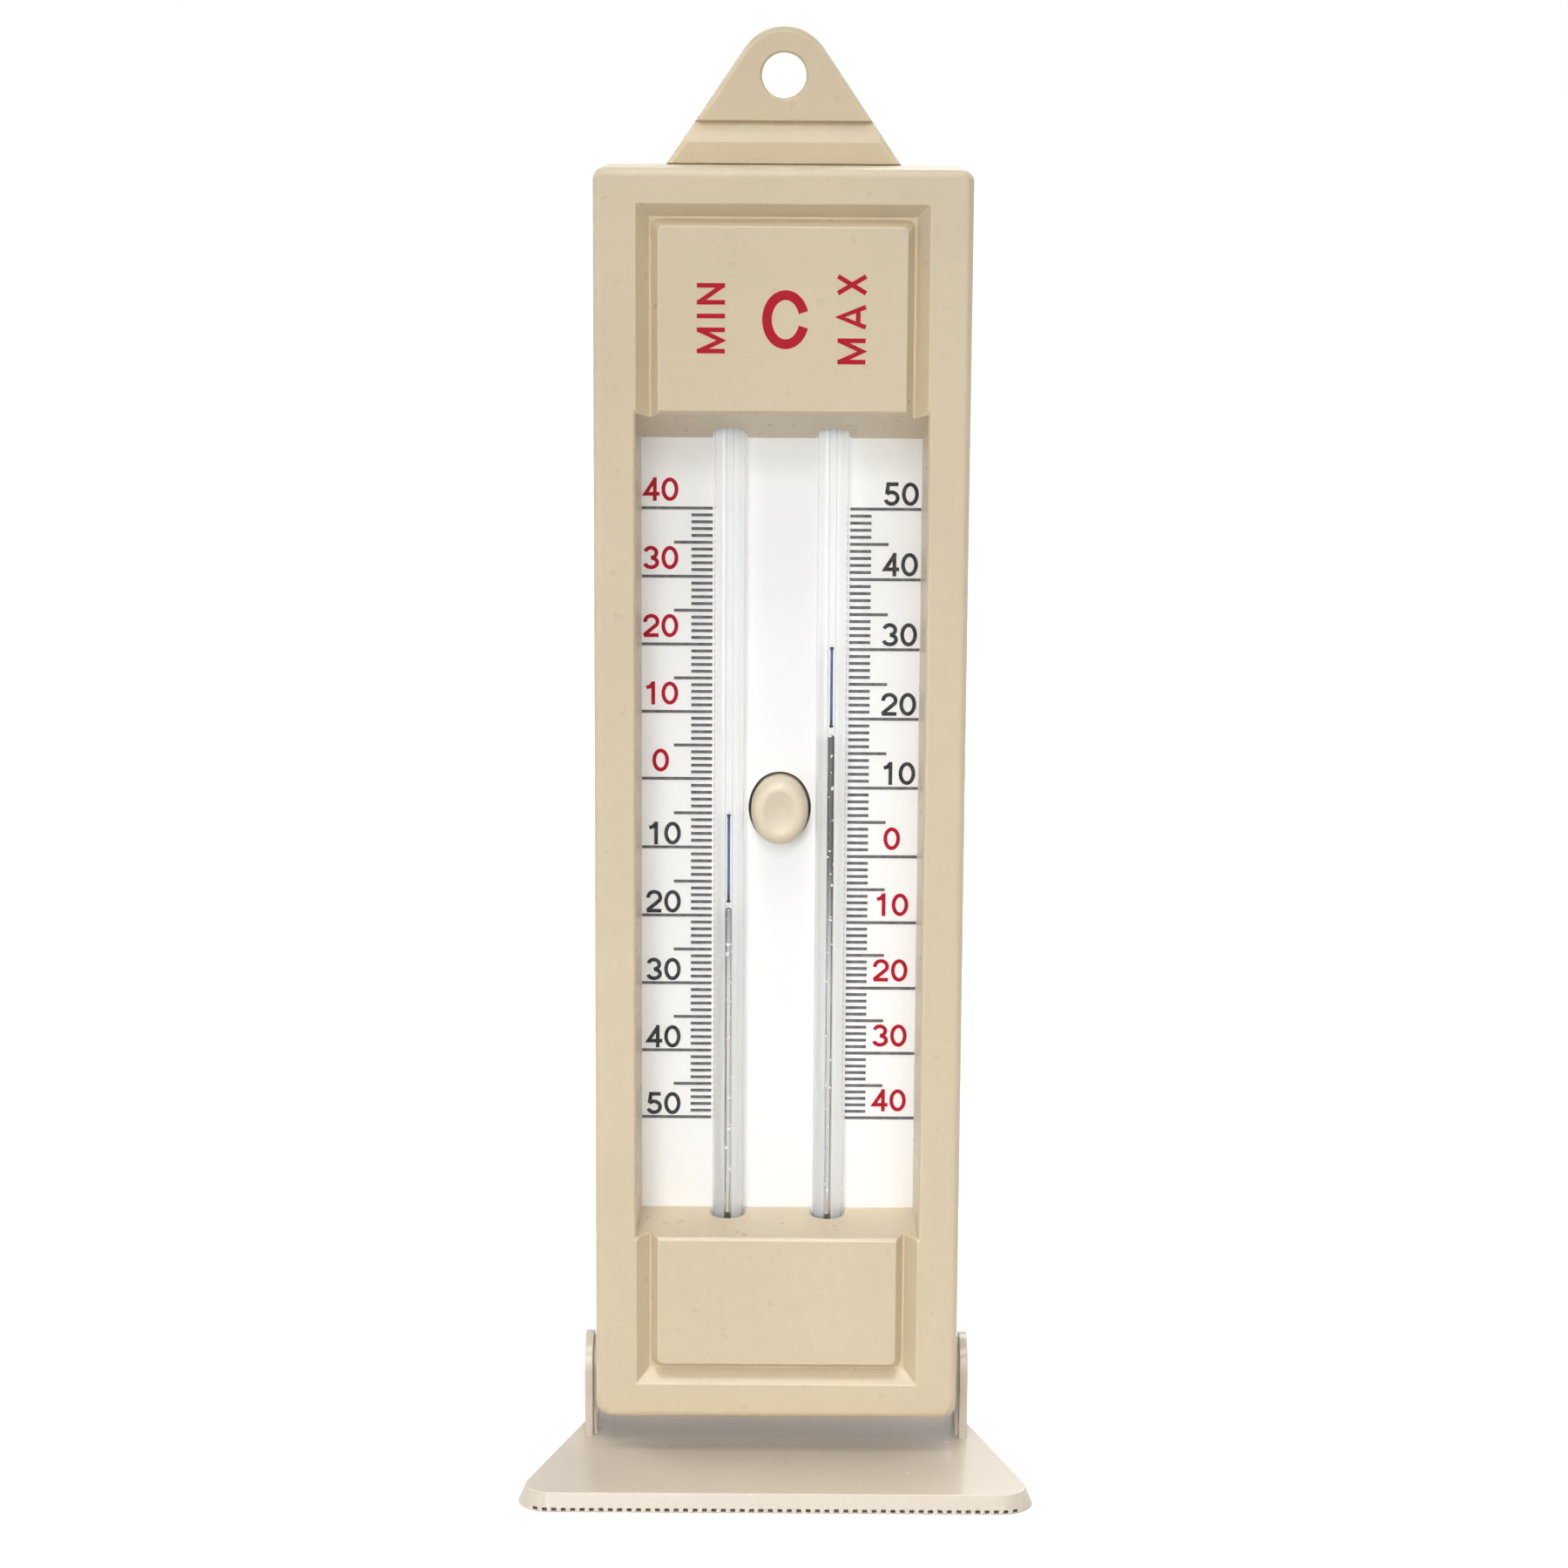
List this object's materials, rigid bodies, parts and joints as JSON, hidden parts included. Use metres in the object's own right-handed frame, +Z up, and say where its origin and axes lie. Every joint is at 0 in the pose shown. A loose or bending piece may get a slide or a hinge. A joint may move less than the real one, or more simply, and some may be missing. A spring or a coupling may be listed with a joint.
{
  "type": "maximum and minimum thermometer",
  "caption": "Tall maximum and minimum thermometer with a U shaped glass tube in a deep window, index pins, a reset button, a hanging lug and a foot that folds back.",
  "frame": {"origin": "centre of the bounding box at the height of the underside of the foot", "axes": "+Z up along the case, +Y away from the viewer towards the wall, +X to the viewer's right"},
  "size_m": [0.0814, 0.042, 0.2295],
  "materials": {
    "case": "moulded, satin",
    "plate": "smooth white",
    "print": "printed ink",
    "glass": "clear drawn glass",
    "mercury": "liquid metal",
    "spirit": "clear liquid",
    "index": "blued steel in blue lacquer",
    "carrier": "moulded, dark",
    "magnet": "ground ferrite",
    "steel": "bright zinc",
    "clamp": "moulded",
    "foam": "open cells",
    "foot": "moulded, satin"
  },
  "bodies": {
    "case": {"front_case": "case", "rear_cover": "case", "scale_plate": "plate", "scale_marks": "print", "glass_tube": "glass", "mercury_thread": "mercury", "bulb_liquid": "spirit", "return_spring": "steel", "upper_clamp": "clamp", "lower_clamp": "clamp", "clamp_screws": "steel", "plate_screws": "steel", "cover_screws": "steel", "bulb_pad": "foam"},
    "foot": {"foot": "foot"},
    "button": {"reset_button": "case", "magnet_carrier": "carrier", "magnet_left": "magnet", "magnet_right": "magnet", "button_screw": "steel"},
    "min_index": {"min_index": "index"},
    "max_index": {"max_index": "index"}
  },
  "joints": [
    {"name": "foot_tilt", "type": "hinge", "parent": "case", "child": "foot", "pos_m": [0, 0.0112, 0.0129], "axis": [1, 0, 0], "range_deg": [-25, 90]},
    {"name": "button_press", "type": "slide", "parent": "case", "child": "button", "axis": [0, 1, 0], "range_m": [0, 0.0024], "stiffness_N_per_m": 400, "springref_m": -0.003, "deforming": ["return_spring"]},
    {"name": "min_index_slide", "type": "slide", "parent": "case", "child": "min_index", "axis": [0, 0, 1], "range_m": [0, 0.048]},
    {"name": "max_index_slide", "type": "slide", "parent": "case", "child": "max_index", "axis": [0, 0, 1], "range_m": [0, 0.021]}
  ]
}
